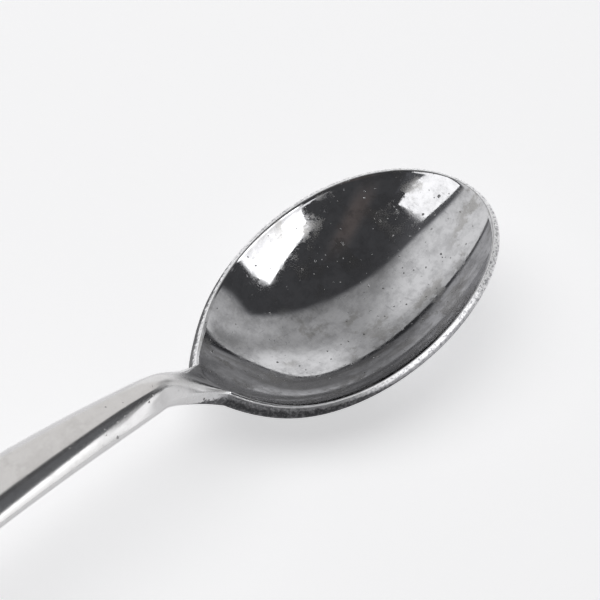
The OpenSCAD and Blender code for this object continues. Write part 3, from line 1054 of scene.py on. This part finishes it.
# %% Glow of the room
BORDER = 0.05
BORDER_LEAN = 0.3
BORDER_RIGHT_LEAN = 0.08
BORDER_RIGHT_END = (0.7, 0.95, 0.0, 0.2)
BORDER_LEFT_END = (-0.2, -0.5, 0.0, 0.07)
BORDER_SOFTNESS = 0.05
WALL_GLOW = (0.0, 0.3, 0.29, 0.41)
WALL_GAIN = 1.25
DARK_WALL_GLOW = (-0.15, -0.5, 0.085, 0.16)
SWEEP_MIDDLE = 0.12
LEFT_LOBE = {"side": (-0.25, -0.6), "far": (0.8, 0.5), "glow": 0.45}
SWEEP_LOBE = {"side": (0.5, 0.2), "far": (0.54, 0.8), "glow": 0.5}
RIGHT_LOBE = {"side": (0.3, 0.6), "far": (0.6, 0.4), "glow": 0.14}
CORNER_LOBE = {"side": (0.6, 0.85), "far": (0.45, 0.65), "glow": -0.28}
LOW_WALL_UP = (0.3, 0.12)
WARM_NEAR = (-0.95, -0.75)
WARM_FAR = (-0.3, -0.6)
WARM_MIDDLE = 0.24
WARM_WIDTH = (0.14, 0.03)
WARM_GLOW = 0.08
DARK_TINT = "#F2F3F8"
WALL_TINT = "#FFFFFF"
WARM_TINT = "#EADCD8"
print("lobes of the pale wall", [lobe["glow"] for lobe in (LEFT_LOBE, SWEEP_LOBE, RIGHT_LOBE, CORNER_LOBE)])

# %% [markdown]
# The rule adds these up: first where the border runs, then the pale wall with its lobes, the dark wall, the
# bright strip close to the floor, and the warm patch.

# %% Material of the room
def room_material():
    material = empty_material("room")
    tree = material.node_tree
    add = partial(add_node, tree)
    place = add("TexCoord").outputs["Object"]
    way = add("VectorMath NORMALIZE", add("VectorMath SUBTRACT", place, tuple(BOWL_PLACE)))
    a = add("VectorMath DOT_PRODUCT", way, tuple(away)).outputs["Value"]
    r = add("VectorMath DOT_PRODUCT", way, tuple(right)).outputs["Value"]
    up = add("SeparateXYZ", way).outputs[2]

    border = add("Math ADD", add("Math MULTIPLY", r, BORDER_LEAN), BORDER)
    border = add(
        "Math SUBTRACT", border, add("Math MULTIPLY", add("Math MAXIMUM", r, 0.0), BORDER_RIGHT_LEAN),
    )
    border = add("Math SUBTRACT", border, add("MapRange SMOOTHSTEP", r, *BORDER_RIGHT_END))
    border = add("Math SUBTRACT", border, add("MapRange SMOOTHSTEP", r, *BORDER_LEFT_END))
    past_border = add("Math SUBTRACT", a, border)
    bright_side = add("MapRange SMOOTHSTEP", past_border, -BORDER_SOFTNESS, BORDER_SOFTNESS)
    dark_side = add("Math SUBTRACT", 1.0, bright_side)

    wall = add("MapRange SMOOTHSTEP", past_border, *WALL_GLOW)
    from_sweep = add("Math ABSOLUTE", add("Math SUBTRACT", r, SWEEP_MIDDLE))
    for measure, lobe in ((r, LEFT_LOBE), (from_sweep, SWEEP_LOBE), (r, RIGHT_LOBE), (r, CORNER_LOBE)):
        shape = add(
            "Math MULTIPLY",
            add("MapRange SMOOTHSTEP", measure, *lobe["side"]),
            add("MapRange SMOOTHSTEP", a, *lobe["far"]),
        )
        wall = add("Math ADD", wall, add("Math MULTIPLY", shape, lobe["glow"]))
    bright_glow = add("Math MULTIPLY", bright_side, add("Math MULTIPLY", wall, WALL_GAIN))
    strength = add(
        "Math ADD",
        bright_glow,
        add("Math MULTIPLY", dark_side, add("MapRange SMOOTHSTEP", r, *DARK_WALL_GLOW)),
    )

    low_wall = add("Math MULTIPLY", add("MapRange SMOOTHSTEP", up, *LOW_WALL_UP), bright_side)
    missing = add("Math MAXIMUM", add("Math SUBTRACT", 1.0, strength), 0.0)
    strength = add("Math ADD", strength, add("Math MULTIPLY", low_wall, missing))

    from_warm = add("Math ABSOLUTE", add("Math SUBTRACT", r, WARM_MIDDLE))
    warm = add(
        "Math MULTIPLY",
        add("MapRange SMOOTHSTEP", a, *WARM_NEAR),
        add("MapRange SMOOTHSTEP", a, *WARM_FAR),
    )
    warm = add("Math MULTIPLY", warm, add("MapRange SMOOTHSTEP", from_warm, *WARM_WIDTH))
    strength = add("Math ADD", strength, add("Math MULTIPLY", warm, WARM_GLOW))
    tint = layered(tree, linear(DARK_TINT), (bright_side, WALL_TINT), (warm, WARM_TINT))
    add_glow(tree, tint, strength)
    return material


ROOM_MATERIAL = room_material()
print("room", len(ROOM_MATERIAL.node_tree.nodes), "nodes")

# %% [markdown]
# The dome carries that glow. It is turned inside out and open below the floor. It doesn't light the paper,
# so the reflections can be set without changing the shadow.

# %% Dome of the room
DOME_RADIUS = 1.5
DOME_SEGMENTS = 64
DOME_RINGS = 32
DOME_FLOOR = -0.01

dome_mesh = bpy.data.meshes.new("room")
shaping = bmesh.new()
bmesh.ops.create_uvsphere(shaping, u_segments=DOME_SEGMENTS, v_segments=DOME_RINGS, radius=DOME_RADIUS)
under_floor = [v for v in shaping.verts if v.co.z < DOME_FLOOR]
bmesh.ops.delete(shaping, geom=under_floor, context="VERTS")
bmesh.ops.reverse_faces(shaping, faces=shaping.faces)
shaping.to_mesh(dome_mesh)
shaping.free()
dome_mesh.materials.append(ROOM_MATERIAL)
dome = bpy.data.objects.new("room", dome_mesh)
bpy.context.scene.collection.objects.link(dome)
dome.visible_diffuse = False
print("dome", len(dome_mesh.polygons), "faces")

# %% [markdown]
# Two softboxes stand behind the camera, one to each side, and the hollow shows both as bright slanted
# windows. Their corners are given as directions from the bowl, found by following the corners in the
# photograph back from the curved steel. They are weaker towards the floor.

# %% Softboxes
SOFTBOX_DISTANCE = 1.0
SOFTBOX_FADE = (0.1, 0.5)
SOFTBOX_COLOUR = "#FFFFFF"
RIGHT_GLOW = (1.4, 3.0)
LEFT_GLOW = (1.6, 1.8)
RIGHT_CORNERS = [(0.07, -0.985, 0.02), (-0.005, -0.833, 0.553), (0.405, -0.58, 0.708), (0.548, -0.836, 0.021)]
LEFT_CORNERS = [(-0.80, -0.52, 0.30), (-0.871, 0.291, 0.40), (-0.549, 0.09, 0.831), (-0.54, -0.395, 0.745)]


def softbox_material(name, low_glow, high_glow):
    material = empty_material(name)
    tree = material.node_tree
    place = add_node(tree, "TexCoord").outputs["Object"]
    height = add_node(tree, "SeparateXYZ", place).outputs[2]
    glow = add_node(tree, "MapRange SMOOTHSTEP", height, *SOFTBOX_FADE, low_glow, high_glow)
    add_glow(tree, linear(SOFTBOX_COLOUR), glow)
    return material


for side, directions, glow in (("right", RIGHT_CORNERS, RIGHT_GLOW), ("left", LEFT_CORNERS, LEFT_GLOW)):
    corners = [BOWL_PLACE + Vector(d).normalized() * SOFTBOX_DISTANCE for d in directions]
    softbox = add_plane(f"softbox_{side}", corners, softbox_material(f"{side} softbox", *glow))
    softbox.visible_diffuse = False
    print(softbox.name, "glow", glow)

# %% [markdown]
# Four cards stand close to the spoon, as a photographer sets them to draw metal. The white card over the
# handle whitens its top face, and the dark flag in front draws the dark band along its side. The edge card
# lights the near rim, and the neck card carries the white strip on along the neck. They show in reflections
# only.

# %% Cards around the spoon, corners in mm
CARDS = [
    ("white_card", "#FBF9F7", 1.0, [(-60, -6, 28), (30, -6, 28), (30, 70, 28), (-60, 70, 28)]),
    ("edge_card", "#FBFBFC", 1.5, [(40, -23, 17), (66, -23, 17), (66, -15, 17), (40, -15, 17)]),
    ("neck_card", "#FBFBFC", 1.55, [(50, -60, 10), (72, -60, 10), (72, -60, 32), (50, -60, 32)]),
    ("dark_flag", "#D2D4DA", 0.2, [(-30, -25, 22), (33, -25, 30), (33, -25, 50), (-30, -25, 50)]),
]
for name, hex_colour, glow, corners in CARDS:
    material = empty_material(name.replace("_", " "))
    add_glow(material.node_tree, linear(hex_colour), glow)
    card = add_plane(name, [Vector(c) * MM for c in corners], material)
    card.visible_camera = False
    card.visible_diffuse = False
    card.visible_shadow = False
print("cards", [row[0] for row in CARDS])

# %% [markdown]
# One wide disk over the spoon lights the paper and makes the soft shadow, which falls to the right and
# towards the camera. The steel doesn't mirror it. The world outside the dome gives no light.

# %% Fill light and world
FILL_SIZE = 1.6
FILL_WATTS = 7.2
FILL_AWAY = 0.2
FILL_LEFT = 0.3
FILL_UP = 1.15

fill_data = bpy.data.lights.new("fill", "AREA")
fill_data.shape = "DISK"
fill_data.size = FILL_SIZE
fill_data.energy = FILL_WATTS
fill = bpy.data.objects.new("fill", fill_data)
bpy.context.scene.collection.objects.link(fill)
fill.location = BOWL_PLACE + away * FILL_AWAY - right * FILL_LEFT + Vector((0, 0, FILL_UP))
fill.rotation_euler = (BOWL_PLACE - fill.location).to_track_quat("-Z", "Y").to_euler()
fill.visible_glossy = False

world = bpy.data.worlds.new("outside")
bpy.context.scene.world = world
world.use_nodes = True
world.node_tree.nodes["Background"].inputs["Strength"].default_value = 0.0
print("fill", FILL_WATTS, "W at", [round(value, 2) for value in fill.location])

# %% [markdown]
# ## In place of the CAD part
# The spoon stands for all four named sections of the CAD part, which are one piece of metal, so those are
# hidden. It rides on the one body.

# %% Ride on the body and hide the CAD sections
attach(spoon, "root")
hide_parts("bowl", "neck", "stem", "handle_end")
